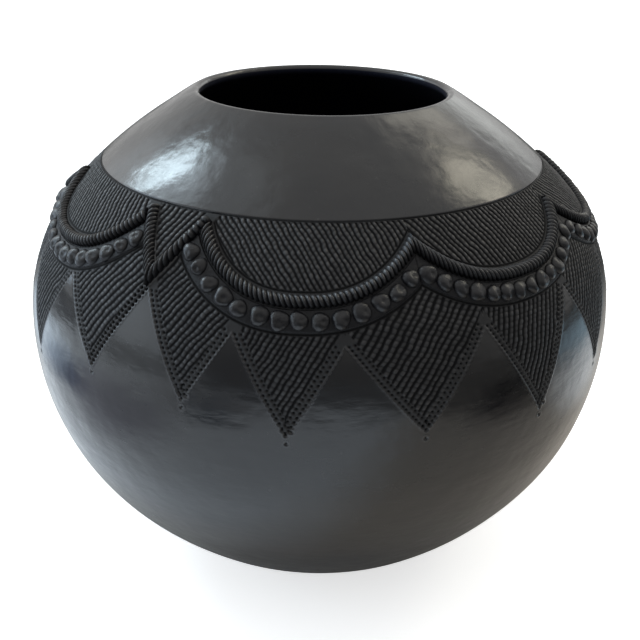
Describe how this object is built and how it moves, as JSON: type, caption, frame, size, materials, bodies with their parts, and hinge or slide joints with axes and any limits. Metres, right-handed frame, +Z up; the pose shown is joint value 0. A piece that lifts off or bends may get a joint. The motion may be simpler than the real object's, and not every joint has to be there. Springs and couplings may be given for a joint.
{
  "type": "clay pot",
  "caption": "Round-bellied, wide-mouthed burnished black clay pot with a tooled band of hanging cord swags and pellets above pointed pendants.",
  "frame": {"origin": "middle of the flat resting face, on the pot's axis", "axes": "+Z up the axis towards the mouth, -Y towards the front with the viewer, +X to the viewer's right"},
  "size_m": [0.2992, 0.2992, 0.2503],
  "materials": {
    "burnished_clay": "hand-burnished, smoke-blackened earthenware, satin gloss",
    "cord_clay": "rolled and twisted black clay cord, unburnished, low sheen",
    "pellet_clay": "hand-pressed black clay pellets, slightly polished on their tops"
  },
  "bodies": {
    "root": {"rim_coil": "burnished_clay", "shoulder_wall": "burnished_clay", "band_wall": "burnished_clay", "lower_wall": "burnished_clay", "base_bowl": "burnished_clay", "swag_cord_1": "cord_clay", "swag_cord_2": "cord_clay", "swag_cord_3": "cord_clay", "swag_cord_4": "cord_clay", "swag_cord_5": "cord_clay", "swag_cord_6": "cord_clay", "swag_cord_7": "cord_clay", "swag_cord_8": "cord_clay", "gusset_cord_front_left": "cord_clay", "gusset_cord_front_right": "cord_clay", "gusset_cord_back_left": "cord_clay", "gusset_cord_back_right": "cord_clay", "pellet_strip_1": "pellet_clay", "pellet_strip_2": "pellet_clay", "pellet_strip_3": "pellet_clay", "pellet_strip_4": "pellet_clay", "pellet_strip_5": "pellet_clay", "pellet_strip_6": "pellet_clay", "pellet_strip_7": "pellet_clay", "pellet_strip_8": "pellet_clay"}
  },
  "joints": []
}
